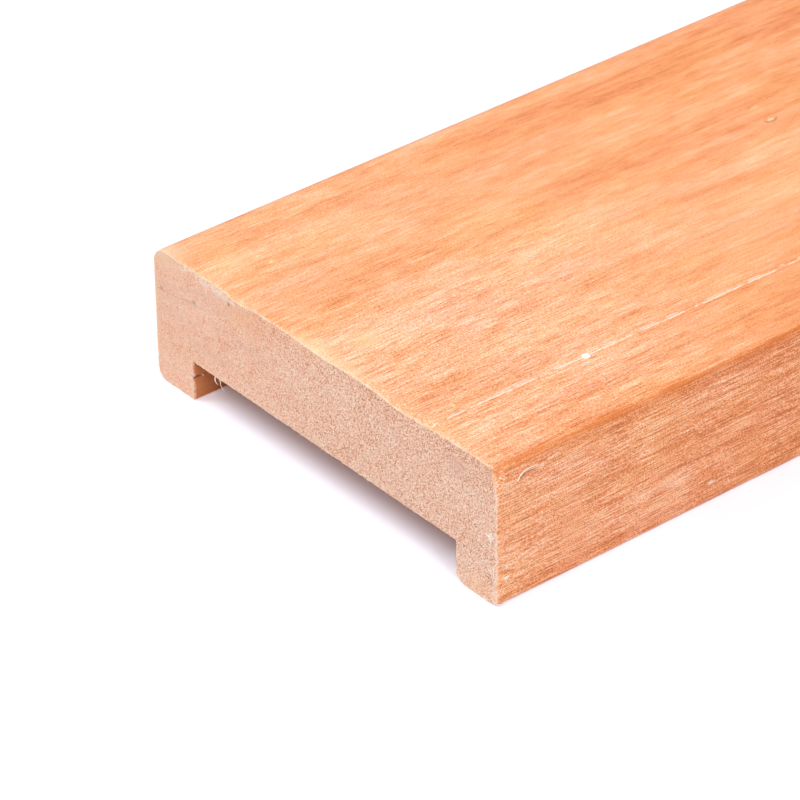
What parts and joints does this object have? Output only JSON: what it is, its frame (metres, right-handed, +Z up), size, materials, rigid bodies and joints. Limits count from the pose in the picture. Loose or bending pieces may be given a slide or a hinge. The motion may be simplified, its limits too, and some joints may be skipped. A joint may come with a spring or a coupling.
{
  "type": "window sill cover board",
  "caption": "Planed hardwood board with rounded outer arrises and a wide shallow recess underneath, laid as a cover over a sill or a low wall.",
  "frame": {"origin": "under the middle of the board, on the level of the two lips it stands on", "axes": "+Y along the grain, +X across the board towards the lip in front in the picture, +Z up through the top face"},
  "size_m": [0.115, 1, 0.034],
  "materials": {
    "hardwood": "planed and bare, no oil or varnish"
  },
  "bodies": {
    "root": {"cover_board": "hardwood"}
  },
  "joints": []
}
